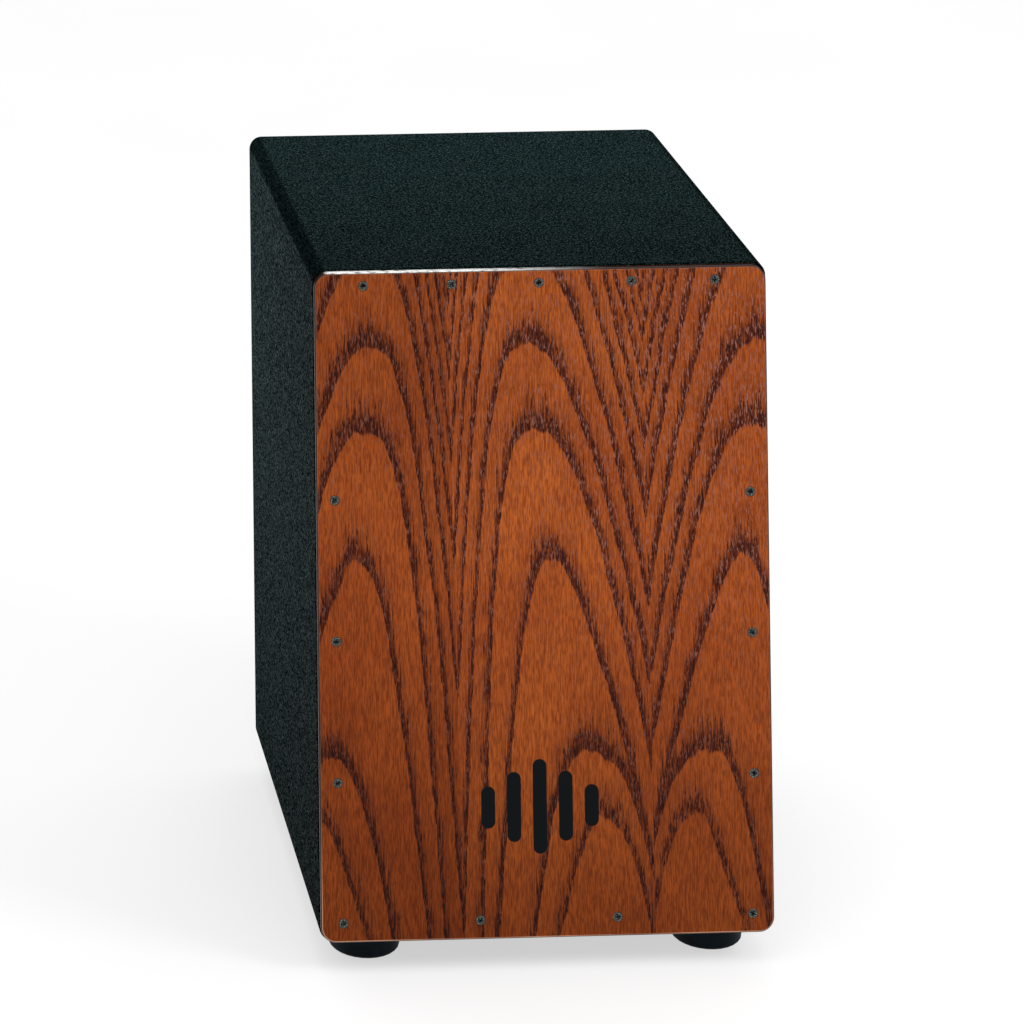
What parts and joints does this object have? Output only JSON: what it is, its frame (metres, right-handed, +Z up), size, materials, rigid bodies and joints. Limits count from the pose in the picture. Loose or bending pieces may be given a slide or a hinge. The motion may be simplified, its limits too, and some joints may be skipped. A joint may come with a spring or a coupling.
{
  "type": "cajon",
  "caption": "Box drum to sit on: a black textured box with a screwed, stained ash front plate, round rubber feet, a rear sound hole and tunable inner strings.",
  "frame": {"origin": "on the floor, under the middle of the box", "axes": "+X to the right as seen from in front of the plate, +Y from the front plate to the back, +Z up"},
  "size_m": [0.299, 0.304, 0.455],
  "materials": {
    "stained_ash": "stained ash veneer with dark cathedral grain under satin lacquer",
    "textured_black": "fibreboard under a finely textured matt black coat",
    "plain_wood": "unfinished hardwood",
    "black_rubber": "matt moulded rubber",
    "black_steel": "black zinc plating",
    "bright_steel": "bright zinc plating",
    "string_wire": "plain steel wire",
    "aluminium": "machined, satin"
  },
  "bodies": {
    "case": {"seat_panel": "textured_black", "base_panel": "textured_black", "left_side_panel": "textured_black", "right_side_panel": "textured_black", "back_panel": "textured_black", "front_plate": "stained_ash", "left_batten": "plain_wood", "right_batten": "plain_wood", "upper_string_bar": "plain_wood", "lower_string_bar": "plain_wood", "plate_screw_01": "black_steel", "plate_screw_02": "black_steel", "plate_screw_03": "black_steel", "plate_screw_04": "black_steel", "plate_screw_05": "black_steel", "plate_screw_06": "black_steel", "plate_screw_07": "black_steel", "plate_screw_08": "black_steel", "plate_screw_09": "black_steel", "plate_screw_10": "black_steel", "plate_screw_11": "black_steel", "plate_screw_12": "black_steel", "plate_screw_13": "black_steel", "plate_screw_14": "black_steel", "plate_screw_15": "black_steel", "front_left_foot": "black_rubber", "front_right_foot": "black_rubber", "back_left_foot": "black_rubber", "back_right_foot": "black_rubber", "front_left_foot_washer": "bright_steel", "front_right_foot_washer": "bright_steel", "back_left_foot_washer": "bright_steel", "back_right_foot_washer": "bright_steel", "front_left_foot_screw": "bright_steel", "front_right_foot_screw": "bright_steel", "back_left_foot_screw": "bright_steel", "back_right_foot_screw": "bright_steel", "anchor_plate": "bright_steel", "anchor_screw_1": "bright_steel", "anchor_screw_2": "bright_steel", "anchor_screw_3": "bright_steel", "anchor_screw_4": "bright_steel", "left_tuner_washer": "bright_steel", "right_tuner_washer": "bright_steel", "left_guide_plate": "bright_steel", "right_guide_plate": "bright_steel", "left_guide_screw_1": "bright_steel", "left_guide_screw_2": "bright_steel", "right_guide_screw_1": "bright_steel", "right_guide_screw_2": "bright_steel"},
    "left_tuning_screw": {"left_tuning_screw": "black_steel"},
    "left_tension_block": {"left_tension_block": "aluminium", "left_string_1": "string_wire", "left_string_2": "string_wire"},
    "right_tuning_screw": {"right_tuning_screw": "black_steel"},
    "right_tension_block": {"right_tension_block": "aluminium", "right_string_1": "string_wire", "right_string_2": "string_wire"}
  },
  "joints": [
    {"name": "left_tuner_turn", "type": "hinge", "parent": "case", "child": "left_tuning_screw", "pos_m": [-0.062, -0.134, 0.03], "axis": [0, 0, 1], "range_deg": [-1080, 1080]},
    {"name": "left_tension_slide", "type": "slide", "parent": "case", "child": "left_tension_block", "axis": [0, 0, -1], "range_m": [-0.003, 0.003], "deforming": ["left_string_1", "left_string_2"]},
    {"name": "right_tuner_turn", "type": "hinge", "parent": "case", "child": "right_tuning_screw", "pos_m": [0.062, -0.134, 0.03], "axis": [0, 0, 1], "range_deg": [-1080, 1080]},
    {"name": "right_tension_slide", "type": "slide", "parent": "case", "child": "right_tension_block", "axis": [0, 0, -1], "range_m": [-0.003, 0.003], "deforming": ["right_string_1", "right_string_2"]}
  ],
  "couplings": [
    {"joint": "left_tuner_turn", "follows": "left_tension_slide", "rad_per_m": 6283.2},
    {"joint": "right_tuner_turn", "follows": "right_tension_slide", "rad_per_m": 6283.2}
  ]
}
